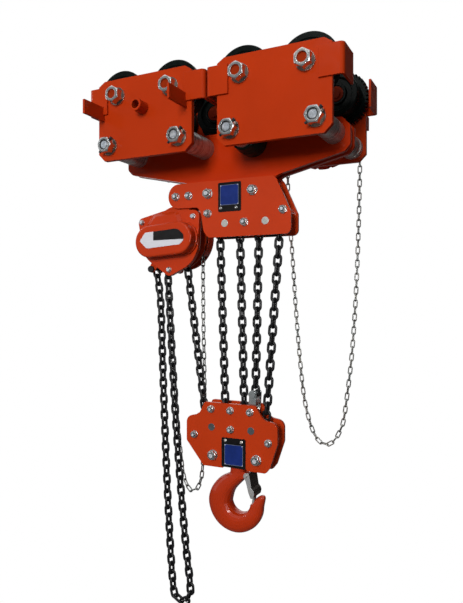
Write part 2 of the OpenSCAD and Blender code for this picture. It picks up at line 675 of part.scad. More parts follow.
// place is [x, z, bolt radius, nut across flats]
bolt_washer_t = 3;
bolt_tail = 4;
module bolt_set(p, outer) {
  head = p[3] * 0.55;
  nut = p[3] * 0.45;
  seat = outer + bolt_washer_t;
  translate([p[0], 0, p[1]]) {
    union() {
      bar_y(p[2], -seat - nut - bolt_tail + 2, seat);
      translate([0, -seat - nut - bolt_tail + 2, 0]) rotate([90, 0, 0]) cylinder(r1 = p[2], r2 = p[2] - 2.5, h = 2);
    }
    hex_y(p[3], seat, seat + head, turn = 10 + p[0]);
    difference() {
      intersection() {
        hex_y(p[3], -seat - nut, -seat, turn = 15 + p[0] / 2);
        translate([0, -seat, 0]) rotate([90, 0, 0]) union() {
          cylinder(r = p[3], h = nut - 3);
          translate([0, 0, nut - 3]) cylinder(r1 = p[3] / 2 + 3.5, r2 = p[3] / 2 - 0.5, h = 3);
        }
      }
      bar_y(p[2], -seat - nut - 1, -seat + 1);
    }
    for (far = [false, true]) on_side(far) difference() {
      bar_y(p[3] * 0.6, -seat, -outer);
      bar_y(p[2], -seat - 1, -outer + 1);
    }
  }
}
module spacer(p, inner, wall = 5) {
  translate([p[0], 0, p[1]]) difference() {
    bar_y(p[2] + wall, -inner, inner);
    bar_y(p[2], -inner - 1, inner + 1);
  }
}

/* Frame */

// The first two also carry the load beam, the others tie the plates and the hoist's ears
frame_bolt_r = 10;
tie_bolt_r = 8;
frame_fasteners = [
  [-78.7, -257, frame_bolt_r, 30], [95, -257, frame_bolt_r, 30], [-211, -258, tie_bolt_r, 24],
  [-157, -258, tie_bolt_r, 24], [-78.7, -327, tie_bolt_r, 24], [63.7, -365, tie_bolt_r, 24],
  [206.6, -331, tie_bolt_r, 24]];
frame_corners = [
  [-245, -212, 43], [-150, -212, 4], [172, -214, 8], [184, -229, 60], [234, -340, 30], [234, -frame_bottom, 20],
  [-80, -frame_bottom, 20], [-98, -389, 30], [-108, -326, 30], [-122, -302, 14], [-245, -300, 43]];
module frame_plate(y0, y1) {
  color(paint) difference() {
    slab(y0, y1) polygon(rounded(frame_corners, 8));
    for (p = frame_fasteners) bar_y(p[2], y0 - 1, y1 + 1, p[0], p[1]);
    for (x = [upper_left_x, upper_right_x]) bar_y(sheave_pin_r, y0 - 1, y1 + 1, x, upper_z);
  }
}
module frame_near_plate() { frame_plate(-frame_out, -frame_in); }
module frame_far_plate() { frame_plate(frame_in, frame_out); }
module frame_bolts() {
  color(zinc) for (p = frame_fasteners) bolt_set(p, frame_out);
}
module frame_spacers() {
  color(zinc) {
    for (i = [0, 1]) spacer(frame_fasteners[i], beam_in);
    for (i = [2, 3]) spacer(frame_fasteners[i], hoist_out - hoist_t);
    for (i = [4, 5, 6]) spacer(frame_fasteners[i], frame_in);
  }
}

// Bare rating plate: a dark plate with a recessed field
module label(x0, x1, z0, z1, field_low, field_high, y) {
  difference() {
    slab(y - 2, y) polygon(rounded([[x0, z0, 5], [x0, z1, 5], [x1, z1, 5], [x1, z0, 5]], 4));
    slab(y - 3, y - 1.4) polygon([[x0 + 7, field_low], [x0 + 7, field_high], [x1 - 9, field_high], [x1 - 9, field_low]]);
  }
}
module frame_label() { color(black) label(-38, 51, -325, -222.5, -302, -231.5, -frame_out); }

/* Hoist body */

hoist_ear = [[-211, -258], [-157, -258]];
cover_bolts = [[-355, -344], [-135, -334], [-236, -523]];
near_shell_r = 100;
far_shell_r = 122;
module hoist_plate(y0, y1, shell_r) {
  color(paint) difference() {
    slab(y0, y1) union() {
      translate([hoist_x, hoist_z]) circle(r = shell_r, $fn = 96);
      hull() for (p = concat(hoist_ear, [[-200, -330]])) translate(p) circle(r = 20);
      hull() {
        translate(anchor_pin) circle(r = 13);
        translate([-290, -470]) circle(r = 20);
      }
      for (p = cover_bolts) hull() {
        translate(p) circle(r = 12);
        translate([hoist_x, hoist_z]) circle(r = 30);
      }
    }
    for (p = hoist_ear) bar_y(tie_bolt_r, y0 - 1, y1 + 1, p[0], p[1]);
    for (p = cover_bolts) bar_y(6, y0 - 1, y1 + 1, p[0], p[1]);
    bar_y(5, y0 - 1, y1 + 1, anchor_pin[0], anchor_pin[1]);
    bar_y(hub_run_r + running, y0 - 1, y1 + 1, hoist_x, hoist_z);
  }
}
hub_run_r = 24;
module hoist_near_plate() { hoist_plate(-hoist_out, -hoist_out + hoist_t, near_shell_r); }
module hoist_far_plate() { hoist_plate(hoist_out - hoist_t, hoist_out, far_shell_r); }

// Studs through both side plates and the covers, their spacers, and the slack chain's anchor pin
module hoist_ties() {
  gap = hoist_out - hoist_t;
  color(zinc) {
    for (p = cover_bolts) translate([p[0], 0, p[1]]) {
      bar_y(6, -cover_face - 11, hoist_out + 8);
      hex_y(19, hoist_out, hoist_out + 8);
      difference() {
        bar_y(10, -gap, gap);
        bar_y(6, -gap - 1, gap + 1);
      }
    }
    translate([anchor_pin[0], 0, anchor_pin[1]]) {
      bar_y(load_wire / 2, -hoist_out - 10, hoist_out + 4);
      bar_y(12, -hoist_out - 10, -hoist_out);
      bar_y(9, hoist_out, hoist_out + 5);
    }
  }
}

// The cover's outline: three bolt corners round the gear train
module cover_outline(grow = 0) {
  hull() {
    translate([-351, -347]) circle(r = 20 + grow);
    translate([-135, -335]) circle(r = 24 + grow);
    translate([-236, -523]) circle(r = 22 + grow);
    translate([-242, -404]) circle(r = 99 + grow);
    translate([-218, -426]) circle(r = 103 + grow);
    translate([-264, -418]) circle(r = 93 + grow);
  }
}
boss_turn = 4;
boss_half = 61;
// The boss over the gear train: a stadium with a rounded front edge, grown or shrunk by d
module boss(front, back, d, edge) {
  r = 58 + d;
  section = concat([[0, front], [r - edge, front]],
    [for (a = [75:-15:0]) [r - edge + edge * cos(a), front + edge - edge * sin(a)]], [[r, back], [0, back]]);
  translate([-237, 0, -417]) rotate([0, -boss_turn, 0]) {
    for (m = [-1, 1]) translate([m * boss_half, 0, 0]) rotate([-90, 0, 0]) rotate_extrude($fn = 96)
      polygon(section);
    for (m = [0, 1]) translate([-boss_half, 0, 0]) rotate([0, 90, 0]) mirror([m, 0, 0])
      linear_extrude(2 * boss_half) polygon(section);
  }
}
module gear_cover() {
  wall = 6;
  color(paint) difference() {
    union() {
      slab(-cover_face, -hoist_out) cover_outline();
      boss(-cover_face - 10, -cover_face + 2, 4, 4);
      boss(-boss_face, -cover_face + 2, 0, 8);
      hull() {
        slab(-cover_face - 1, -cover_face) polygon(rounded([
          [-345, -372, 14], [-300, -316, 20], [-196, -312, 14], [-172, -372, 10], [-180, -440, 10], [-300, -440, 14]]));
        slab(-cover_face - 11, -cover_face) polygon(rounded([
          [-330, -375, 14], [-292, -328, 20], [-204, -323, 10], [-184, -372, 10], [-190, -440, 10], [-300, -440, 14]]));
      }
    }
    slab(-cover_face + wall, -hoist_out + 1) difference() {
      cover_outline(-wall);
      for (p = cover_bolts) translate(p) circle(r = 14);
    }
    boss(-boss_face + wall, -cover_face + wall + 1, -wall, 4);
    for (p = cover_bolts) bar_y(6, -cover_face - 1, -hoist_out + 1, p[0], p[1]);
  }
}
module cover_nuts() {
  color(zinc) for (p = cover_bolts) translate([p[0], 0, p[1]]) {
    difference() {
      union() {
        bar_y(10, -cover_face - 2, -cover_face);
        hex_y(16, -cover_face - 9, -cover_face - 2, turn = p[0]);
      }
      bar_y(6, -cover_face - 10, -cover_face + 1);
    }
  }
}
module nameplate() {
  color("silver") slab(-boss_face - 1.5, -boss_face) polygon(rounded([
    [-333, -419, 6], [-309, -389, 12], [-172, -380, 30], [-146, -404, 20], [-148, -424, 10], [-164, -437, 8],
    [-303, -447, 12]]));
}

// Load sheave with its two journals, and the drive end that carries the hand wheel's thread
module load_sheave() {
  gap = hoist_out - hoist_t;
  color(iron) translate([hoist_x, 0, hoist_z]) {
    sheave(15, gap - seat_gap, sheave_flange);
    difference() {
      bar_y(hub_run_r, -cover_face + 8, hoist_out + 6);
      bar_y(30, -sheave_half - 1.7, sheave_half + 1.7);
    }
    bar_y(16, -sheave_half - 3, sheave_half + 3);
  }
}
module hoist_hand_wheel() {
  near = hoist_out + 6 + seat_gap - hoist_chain_y;
  color(paint) translate([hoist_x, hoist_chain_y, hoist_z])
    chain_wheel(hoist_run_r, 13, 28, near, 15, 6, hoist_pockets, 0, 10, 50);
}
// Dished cover over the hand wheel, open below where the chain runs out
module hand_wheel_cover() {
  y0 = hoist_out + 12;
  y1 = hoist_chain_y + 20;
  wall = 3;
  color(paint) difference() {
    union() {
      translate([hoist_x, 0, hoist_z]) rotate([-90, 0, 0]) rotate_extrude($fn = 96) polygon([
        [0, y1 + 4], [70, y1 + 4], [far_shell_r - 18, y1 + 1], [far_shell_r - 4, y1 - 5], [far_shell_r, y1 - 14],
        [far_shell_r, y0], [far_shell_r - wall, y0], [far_shell_r - wall, y1 - 14 - wall / 2],
        [far_shell_r - 8, y1 - 8], [far_shell_r - 20, y1 - 3], [70, y1], [0, y1]]);
      for (p = cover_bolts) translate([p[0], 0, p[1]]) bar_y(9, hoist_out + 8, y0 + 10);
    }
    translate([hoist_x - 100, hoist_chain_y - 60, hoist_z - 140]) cube([200, 72, 80]);
  }
}

/* Hook block */

block_bolt_r = 7;
crosshead_bolt_r = 10;
block_fasteners = [
  [-67, -1020, block_bolt_r, 22], [8.7, -1020, block_bolt_r, 22], [84, -1020, block_bolt_r, 22],
  [9.6, -1086, block_bolt_r, 22], [-135, -1116, block_bolt_r, 22], [152.4, -1119, block_bolt_r, 22],
  [-60, -1182, crosshead_bolt_r, 30], [108, -1182, crosshead_bolt_r, 30]];
block_corners = [
  [-96, -997, 10], [103, -997, 10], [121, -1026, 30], [136, -1044, 24], [185, -1052, 26], [185, -1122, 16],
  [157, -1204, 14], [141, -1224, 10], [-100, -1224, 10], [-169, -1140, 14], [-169, -1054, 26], [-118, -1042, 24],
  [-106, -1020, 20]];
module block_plate(y0, y1) {
  color(paint) difference() {
    slab(y0, y1) polygon(rounded(block_corners));
    for (p = block_fasteners) bar_y(p[2], y0 - 1, y1 + 1, p[0], p[1]);
    for (x = [lower_left_x, lower_right_x]) bar_y(sheave_pin_r, y0 - 1, y1 + 1, x, lower_z);
    slab(y0 - 1, y1 + 1) polygon(rounded([[-26, -1230, 0], [-18, -1214, 6], [66, -1214, 6], [74, -1230, 0]]));
  }
}
module block_near_plate() { block_plate(-block_out, -block_in); }
module block_far_plate() { block_plate(block_in, block_out); }
module block_bolts() {
  color(zinc) for (p = block_fasteners) bolt_set(p, block_out);
}
module block_spacers() {
  color(zinc) for (i = [0, 1, 3, 4, 5]) spacer(block_fasteners[i], block_in);
}
module block_label() { color(black) label(-26, 67, -1219, -1116, -1210, -1139, -block_out); }

crosshead_low = -1204;
crosshead_high = -1160;
module crosshead() {
  color(iron) difference() {
    union() {
      slab(-block_in, block_in) polygon(rounded([
        [-80, crosshead_low + 4, 10], [-80, crosshead_high - 4, 10], [-20, crosshead_high, 8], [hook_x + 44, crosshead_high, 8],
        [128, crosshead_high - 4, 10], [128, crosshead_low + 4, 10], [hook_x + 44, crosshead_low, 8], [-20, crosshead_low, 8]]));
    }
    for (i = [6, 7]) bar_y(block_fasteners[i][2], -block_in - 1, block_in + 1, block_fasteners[i][0], block_fasteners[i][1]);
    translate([hook_x, 0, crosshead_low - 1]) cylinder(r = shank_r + running, h = 60);
  }
}

// Sections of the forged hook: inner point, outer point [x, z] and half thickness
bowl_in = [34, -1344];
bowl_in_r = 38;
bowl_out = [14, -1348];
bowl_out_r = 106.5;
function polar(c, r, a) = c + r * [cos(a), sin(a)];
hook_sections = concat([
    [[53, -1216], [-5, -1216], 28], [[53.5, -1234], [-5.5, -1234], 29], [[53.5, -1250], [-10, -1246], 30],
    [[48, -1262], [-30, -1255], 31], [[37, -1275], [-53, -1271], 32], [[20, -1292], [-74, -1296], 33],
    [[5, -1312], [-87, -1322], 34]],
  [for (a = [180:15:345]) [polar(bowl_in, bowl_in_r, a), polar(bowl_out, bowl_out_r, a),
    a < 270 ? 34 : 34 - 12 * (a - 270) / 75]],
  [[[71, -1349], [119.5, -1353], 21], [[79, -1339], [122, -1341], 19], [[90, -1326], [124.5, -1329], 16],
    [[102, -1316], [126, -1320], 12], [[113, -1311], [124, -1313], 6]]);
hook_fine = smooth([for (s = hook_sections) [s[0][0], s[0][1], s[1][0], s[1][1], s[2]]], 3);
hook_sides = 20;
// Rounded section, fuller towards the inside of the bowl
function hook_ring(s) =
  let (m = [s[0] + s[2], s[1] + s[3]] / 2, h = [s[0] - s[2], s[1] - s[3]] / 2)
  [for (i = [0:hook_sides - 1])
    let (a = i * 360 / hook_sides, c = cos(a), d = sin(a), k = 0.82)
    let (u = sign(c) * pow(abs(c), k), v = sign(d) * pow(abs(d), k) * (1 + 0.14 * c))
    [m[0] + u * h[0] + hook_x - 24, v * s[4], m[1] + u * h[1]]];
module hook_body() {
  n = len(hook_fine);
  points = [for (s = hook_fine) each hook_ring(s)];
  polyhedron(points, concat(
    [[for (i = [hook_sides - 1:-1:0]) i]],
    [for (j = [0:n - 2], i = [0:hook_sides - 1]) let (k = (i + 1) % hook_sides)
      [j * hook_sides + i, j * hook_sides + k, (j + 1) * hook_sides + k, (j + 1) * hook_sides + i]],
    [[for (i = [0:hook_sides - 1]) (n - 1) * hook_sides + i]]));
}
latch_pivot = [64, -1242];
latch_pin_r = 5;
latch_half = 32;
latch_t = 4;
lug_half = latch_half - latch_t - 2 * seat_gap;
shelf_z = -1343.5;
// The hook carries a lug for the latch, and a step at its tip that the latch's tab comes to rest in
module hook() {
  color(paint) difference() {
    union() {
      hook_body();
      translate([hook_x, 0, crosshead_low - 13]) cylinder(r = shank_r + 6, h = 13 - seat_gap);
      translate([hook_x, 0, crosshead_low - 14]) cylinder(r = shank_r, h = crosshead_high - crosshead_low + 14 + 38);
      slab(-lug_half, lug_half) polygon(rounded([
        [30, -1230, 0], [56, -1232, 4], [73, -1236, 8], [72, -1250, 8], [58, -1253, 6], [30, -1262, 0]]));
    }
    bar_y(latch_pin_r + running, -40, 40, latch_pivot[0], latch_pivot[1]);
    slab(-40, 40) polygon([[50, shelf_z], [85, shelf_z], [95, -1316], [95, -1300], [50, -1300]]);
  }
}
module hook_nut() {
  color(zinc) translate([hook_x, 0, crosshead_high]) difference() {
    union() {
      translate([0, 0, seat_gap]) cylinder(r = shank_r + 5, h = 8);
      translate([0, 0, 8]) cylinder(r = shank_r + 6, h = 24, $fn = 6);
    }
    translate([0, 0, -1]) cylinder(r = shank_r, h = 40);
  }
}
function latch_side() = rounded([
  [60, -1233, 8], [76, -1233, 4], [81, -1252, 30], [86, -1283, 6], [94, -1291, 8], [97, -1301, 8], [94, -1314, 6],
  [88, -1319, 2], [83, -1318, 4], [75, -1300, 20], [65, -1262, 20], [55, -1246, 8]]);
// Folded channel: two cheeks beside the hook's lug, the face that closes the throat, its tab and the pivot
module hook_latch() {
  color("dimgray") {
    for (m = [-1, 1]) slab(m > 0 ? latch_half - latch_t : -latch_half, m > 0 ? latch_half : latch_t - latch_half)
      polygon(latch_side());
    slab(latch_t - latch_half, latch_half - latch_t) difference() {
      polygon(latch_side());
      polygon(rounded([[60, -1220, 0], [72, -1228, 0], [77, -1252, 30], [82, -1285, 6], [90, -1293, 6], [93, -1301, 6],
        [91, -1312, 4], [84, -1316, 2], [79, -1330, 0], [40, -1330, 0], [40, -1220, 0]]));
    }
    slab(-8, 8) polygon(rounded([[83, -1314, 0], [89, -1314, 0], [88, -1321, 3], [85.5, -1341, 1], [77.5, -1341, 2], [80, -1322, 3]]));
    bar_y(latch_pin_r, -latch_half - 1, latch_half + 1, latch_pivot[0], latch_pivot[1]);
    for (far = [false, true]) on_side(far) translate([latch_pivot[0], -latch_half, latch_pivot[1]]) rotate([90, 0, 0])
      cylinder(r1 = 7, r2 = 6, h = 4);
  }
}

// Clevis that ends the fifth fall: two straps, the pin through the last link and a bush on the block's bolt
module chain_clevis() {
  foot = block_fasteners[2];
  color(zinc) {
    for (far = [false, true]) on_side(far) difference() {
      slab(-24, -18) hull() {
        translate(clevis_pin) circle(r = 13);
        translate([foot[0], foot[1]]) circle(r = 14);
      }
      bar_y(load_wire / 2, -25, -17, clevis_pin[0], clevis_pin[1]);
      bar_y(foot[2], -25, -17, foot[0], foot[1]);
    }
    difference() {
      bar_y(12.5, -18, 18, foot[0], foot[1]);
      bar_y(foot[2], -19, 19, foot[0], foot[1]);
    }
    bar_y(load_wire / 2, -24, 34, clevis_pin[0], clevis_pin[1]);
    hex_y(24, -33, -24, clevis_pin[0], clevis_pin[1]);
    hex_y(17, 24, 30, clevis_pin[0], clevis_pin[1]);
  }
}

near_left_side_plate();
near_right_side_plate();
far_left_side_plate();
far_right_side_plate();
end_guards();
drive_brackets();
wheel_axles();
trolley_nuts();
trolley_washers();
split_pins();
near_left_outer_wheel();
near_left_inner_wheel();
near_right_inner_wheel();
near_right_outer_wheel();
far_left_outer_wheel();
far_left_inner_wheel();
far_right_inner_wheel();
far_right_outer_wheel();
cross_shafts();
spacer_sleeves();
beam_near_plate();
beam_far_plate();
drive_shaft();
drive_pinion();
trolley_hand_wheel();
trolley_hand_chain();
frame_near_plate();
frame_far_plate();
frame_bolts();
frame_spacers();
upper_left_sheave();
upper_right_sheave();
upper_sheave_pins();
frame_label();
hoist_near_plate();
hoist_far_plate();
hoist_ties();
gear_cover();
cover_nuts();
nameplate();
load_sheave();
hoist_hand_wheel();
hand_wheel_cover();
hoist_hand_chain();
load_chain_upper();
load_chain_falls();
load_chain_lower();
block_near_plate();
block_far_plate();
block_bolts();
block_spacers();
block_sheave_pins();
lower_left_sheave();
lower_right_sheave();
block_label();
crosshead();
hook();
hook_nut();
hook_latch();
chain_clevis();
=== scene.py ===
"""Chain block with geared trolley, as in its catalogue picture: hanging, on white, seen from the front right."""

import math

import bpy
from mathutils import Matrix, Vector


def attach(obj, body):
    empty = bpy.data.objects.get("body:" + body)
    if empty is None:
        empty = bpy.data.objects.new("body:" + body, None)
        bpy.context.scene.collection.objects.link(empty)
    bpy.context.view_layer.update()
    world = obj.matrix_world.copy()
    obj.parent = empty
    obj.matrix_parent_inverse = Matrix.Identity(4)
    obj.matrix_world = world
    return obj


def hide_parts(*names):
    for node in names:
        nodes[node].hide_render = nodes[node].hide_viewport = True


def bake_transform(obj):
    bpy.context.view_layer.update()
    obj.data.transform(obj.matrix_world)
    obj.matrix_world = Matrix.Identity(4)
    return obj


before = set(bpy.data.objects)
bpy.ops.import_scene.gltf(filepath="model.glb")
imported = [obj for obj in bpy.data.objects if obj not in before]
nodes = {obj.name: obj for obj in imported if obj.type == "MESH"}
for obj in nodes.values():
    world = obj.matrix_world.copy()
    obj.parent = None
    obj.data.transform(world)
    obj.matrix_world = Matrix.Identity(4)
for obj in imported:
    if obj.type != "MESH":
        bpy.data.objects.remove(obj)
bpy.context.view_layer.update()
scene = bpy.context.scene

# Camera: level, turned round from the side with the gear cover, as fitted to the photo

CAMERA_AT = (0.930, -1.883, -0.6394)
CAMERA_TURN = math.radians(26.42)
FOCAL_PX, PICTURE_HEIGHT_PX = 591.0, 603.0
SENSOR_MM = 36.0

camera = bpy.data.objects.new("camera", bpy.data.cameras.new("camera"))
scene.collection.objects.link(camera)
camera.location = CAMERA_AT
camera.rotation_euler = (math.radians(90), 0.0, CAMERA_TURN)
camera.data.sensor_width = SENSOR_MM
camera.data.lens = FOCAL_PX * SENSOR_MM / PICTURE_HEIGHT_PX
camera.data.clip_end = 60.0
scene.camera = camera
scene.view_settings.view_transform = "Standard"


# Small helpers for node trees


class Tree:
    """One material's nodes, with its main shader and the object's own coordinates."""

    def __init__(self, name):
        self.material = bpy.data.materials.new(name)
        self.material.use_nodes = True
        self.nodes = self.material.node_tree.nodes
        self.links = self.material.node_tree.links
        self.bsdf = self.nodes["Principled BSDF"]
        self.place = self.nodes.new("ShaderNodeTexCoord").outputs["Object"]

    def link(self, a, b):
        self.links.new(a, b)

    def set(self, **values):
        names = {"metallic": "Metallic", "specular": "Specular IOR Level", "rough": "Roughness"}
        for k, v in values.items():
            self.bsdf.inputs[names[k]].default_value = v

    def noise(self, scale, detail=3.0, rough=0.55, stretch=None):
        n = self.nodes.new("ShaderNodeTexNoise")
        n.inputs["Scale"].default_value = scale
        n.inputs["Detail"].default_value = detail
        n.inputs["Roughness"].default_value = rough
        if stretch:
            m = self.nodes.new("ShaderNodeMapping")
            m.inputs["Scale"].default_value = stretch
            self.link(self.place, m.inputs["Vector"])
            self.link(m.outputs["Vector"], n.inputs["Vector"])
        else:
            self.link(self.place, n.inputs["Vector"])
        return n.outputs["Fac"]

    def ramp(self, fac, *stops):
        r = self.nodes.new("ShaderNodeValToRGB")
        e = r.color_ramp.elements
        while len(e) < len(stops):
            e.new(0.5)
        for k, (at, colour) in zip(e, stops):
            k.position = at
            k.color = (*colour, 1) if isinstance(colour, tuple) else (colour, colour, colour, 1)
        self.link(fac, r.inputs["Fac"])
        return r.outputs["Color"]

    def maths(self, kind, a, b=0.0):
        m = self.nodes.new("ShaderNodeMath")
        m.operation = kind
        for i, v in enumerate((a, b)):
            if isinstance(v, (int, float)):
                m.inputs[i].default_value = v
            else:
                self.link(v, m.inputs[i])
        return m.outputs[0]

    def mix(self, fac, a, b, kind="MIX"):
        m = self.nodes.new("ShaderNodeMix")
        m.data_type = "RGBA"
        m.blend_type = kind
        for socket, v in ((m.inputs["Factor"], fac), (m.inputs["A"], a), (m.inputs["B"], b)):
            if isinstance(v, tuple):
                socket.default_value = (*v, 1)
            elif isinstance(v, (int, float)):
                socket.default_value = v
            else:
                self.link(v, socket)
        return m.outputs["Result"]

    def bump(self, *layers, edge=0.0012):
        """Bump layers [height, strength, depth] over edges that are rounded by edge metres."""
        soft_edge = self.nodes.new("ShaderNodeBevel")
        soft_edge.samples = 6
        soft_edge.inputs["Radius"].default_value = edge
        normal = soft_edge.outputs["Normal"]
        for height, strength, distance in layers:
            b = self.nodes.new("ShaderNodeBump")
            b.inputs["Strength"].default_value = strength
            b.inputs["Distance"].default_value = distance
            self.link(height, b.inputs["Height"])
            self.link(normal, b.inputs["Normal"])
            normal = b.outputs["Normal"]
        self.link(normal, self.bsdf.inputs["Normal"])

    def fold(self, cx, cz):
        """|x - cx| and |z - cz| in the object's own coordinates."""
        split = self.nodes.new("ShaderNodeSeparateXYZ")
        self.link(self.place, split.inputs[0])
        return [self.maths("ABSOLUTE", self.maths("SUBTRACT", split.outputs[axis], c))
                for axis, c in (("X", cx), ("Z", cz))]

    def within(self, sides, r, soft=0.0004):
        """1 where the two sides of a right angle span less than r, 0 beyond."""
        far = self.maths("SQRT", self.maths("ADD", *[self.maths("MULTIPLY", d, d) for d in sides]))
        near = self.maths("DIVIDE", self.maths("SUBTRACT", r + soft, far), 2 * soft)
        return self.maths("MINIMUM", self.maths("MAXIMUM", near, 0.0), 1.0)

    def box(self, cx, cz, hx, hz, corner=0.0):
        """1 inside an upright rectangle at (cx, cz) with rounded corners, 0 outside, in metres."""
        past = [self.maths("MAXIMUM", self.maths("SUBTRACT", d, h - corner), 0.0)
                for d, h in zip(self.fold(cx, cz), (hx, hz))]
        return self.within(past, corner)

    def dots(self, cx, cz, hx, hz, r):
        """1 inside four dots at the corners of an upright rectangle."""
        sides = [self.maths("SUBTRACT", d, h) for d, h in zip(self.fold(cx, cz), (hx, hz))]
        return self.within(sides, r)

    def colour(self, c):
        self.link(c, self.bsdf.inputs["Base Color"])

    def rough(self, c):
        self.link(c, self.bsdf.inputs["Roughness"])


def paint(name, colour=(0.46, 0.0375, 0.0058), shine=0.12, forged=False, edge=0.0018):
    """Enamel: a fine orange peel, faint runs of tone, and a soft shine that varies a little."""
    t = Tree(name)
    thin, even, full = (tuple(c * k for c in colour) for k in (0.80, 0.94, 1.06))
    tone = t.ramp(t.noise(5.0, 4.0), (0.3, even), (0.7, full))
    t.colour(t.mix(t.ramp(t.noise(160.0, 2.0), (0.45, 0.0), (0.75, 0.12)), tone, thin))
    t.rough(t.ramp(t.noise(28.0, 3.0), (0.3, 0.14), (0.7, 0.22)))
    t.set(specular=shine)
    layers = [(t.noise(620.0, 2.0, 0.5), 0.08, 0.0003)]
    if forged:
        layers.append((t.noise(40.0, 3.0, 0.5), 0.14, 0.0014))
    t.bump(*layers, edge=edge)
    return t.material


def zinc(name, dark=(0.48, 0.49, 0.50), light=(0.72, 0.73, 0.72), rough=(0.18, 0.30), grain=900.0,
         edge=0.0010, metal=1.0, clouds=22.0):
    """Plated steel: bright, with cloudy passivation, a hint of yellow and blue, and fine tool marks."""
    t = Tree(name)
    cloud = t.ramp(t.noise(clouds, 3.0, 0.5), (0.25, dark), (0.75, light))
    tint = t.ramp(t.noise(17.0, 2.0), (0.35, (0.86, 0.96, 1.0)), (0.5, (1.0, 1.0, 1.0)),
                  (0.68, (1.0, 0.96, 0.86)))
    t.colour(t.mix(0.6, cloud, tint, "MULTIPLY"))
    t.rough(t.ramp(t.noise(60.0, 3.0), (0.3, rough[0]), (0.7, rough[1])))
    t.set(metallic=metal)
    t.bump((t.noise(grain, 2.0, 0.6), 0.06, 0.0002), edge=edge)
    return t.material


def turned(name):
    """Sleeves turned on a lathe: fine rings round the Y axis on greyish steel, with brown-red patches painted in as a
    reflection of the orange paint round them.
    """
    t = Tree(name)
    rings = t.noise(1.0, 4.0, 0.7, stretch=(6.0, 420.0, 6.0))
    steel = t.ramp(rings, (0.25, (0.22, 0.20, 0.19)), (0.75, (0.58, 0.55, 0.53)))
    orange_reflection_patches = t.ramp(t.noise(1.0, 4.0, 0.6, stretch=(9.0, 60.0, 9.0)), (0.55, 0.0), (0.75, 0.45))
    t.colour(t.mix(orange_reflection_patches, steel, (0.22, 0.030, 0.012)))
    t.rough(t.ramp(rings, (0.3, 0.20), (0.7, 0.38)))
    t.set(metallic=0.6)
    t.bump((rings, 0.25, 0.0005), edge=0.0015)
    return t.material


def dark_metal(name, low, high, rough, specular=0.25, pits=260.0, depth=0.0006):
    """Blacked or black-painted iron: uneven tone, fine pits and a dull sheen."""
    t = Tree(name)
    t.colour(t.ramp(t.noise(38.0, 4.0), (0.3, low), (0.7, high)))
    t.rough(t.ramp(t.noise(90.0, 3.0), (0.3, rough[0]), (0.7, rough[1])))
    t.set(specular=specular)
    t.bump((t.noise(pits, 4.0, 0.6), 0.20, depth))
    return t.material


def rating_plate(name, cx, cz, hx, hz):
    """Bare rating plate: a black plate with a blue field inside a thin light line and a dot in each corner."""
    line, inset, dot = 0.0012, 0.0022, 0.0021
    t = Tree(name)
    black = t.ramp(t.noise(60.0, 3.0), (0.3, (0.003, 0.003, 0.0035)), (0.7, (0.008, 0.0075, 0.008)))
    blue = t.ramp(t.noise(34.0, 3.0), (0.3, (0.006, 0.020, 0.130)), (0.7, (0.010, 0.028, 0.180)))
    with_line = t.mix(t.box(cx, cz, hx, hz, 0.002), black, (0.16, 0.19, 0.28))
    field = t.mix(t.box(cx, cz, hx - line, hz - line, 0.001), with_line, blue)
    t.colour(t.mix(t.dots(cx, cz, hx - inset, hz - inset, dot), field, (0.42, 0.43, 0.52)))
    t.rough(t.ramp(t.noise(80.0, 2.0), (0.3, 0.30), (0.7, 0.42)))
    t.set(specular=0.2)
    t.bump((t.noise(500.0, 2.0), 0.05, 0.0002), edge=0.0006)
    return t.material


def maker_plate(name, cx, cz, hx, hz):
    """Bare nameplate: brushed pale foil with a black panel at its upper right and no print."""
    t = Tree(name)
    brushed = t.noise(1.0, 3.0, 0.6, stretch=(30.0, 30.0, 900.0))
    pale = t.ramp(brushed, (0.3, (0.60, 0.60, 0.65)), (0.7, (0.70, 0.70, 0.74)))
    black = t.ramp(t.noise(50.0, 2.0), (0.3, (0.0025, 0.0025, 0.003)), (0.7, (0.006, 0.006, 0.0065)))
    t.colour(t.mix(t.box(cx, cz, hx, hz, 0.001), pale, black))
    t.rough(t.ramp(t.noise(90.0, 2.0), (0.3, 0.32), (0.7, 0.45)))
    t.set(specular=0.3)
    t.bump((brushed, 0.03, 0.0002), edge=0.0005)
    return t.material


RED = paint("orange_enamel")
# Painted shade: the enamel toned darker for the trolley's side plates, end guards and drive brackets
RED_TROLLEY_SHADED = paint("orange_enamel_darkened_as_shade_on_trolley", (0.425, 0.0325, 0.0042), 0.08)
# Painted shade: the enamel made redder, with less green and blue, for the beam under the trolleys
RED_BEAM_SHADED = paint("orange_enamel_reddened_as_shade_on_beam", (0.47, 0.0290, 0.0036), 0.10)
# Painted light: the enamel toned lighter for the frame plates
RED_FRAME_LIT = paint("orange_enamel_lightened_as_light_on_frame", (0.51, 0.0400, 0.0060), 0.30)
# Painted light: the enamel toned lighter for the gear and hand-wheel covers
RED_COVER_LIT = paint("orange_enamel_lightened_as_light_on_pressing", (0.49, 0.0350, 0.0040), 0.30, edge=0.0035)
# Painted shade: the enamel toned darker for the hook
RED_FORGED_SHADED = paint("orange_enamel_darkened_as_shade_on_forging", (0.420, 0.0285, 0.0034), 0.34, forged=True)
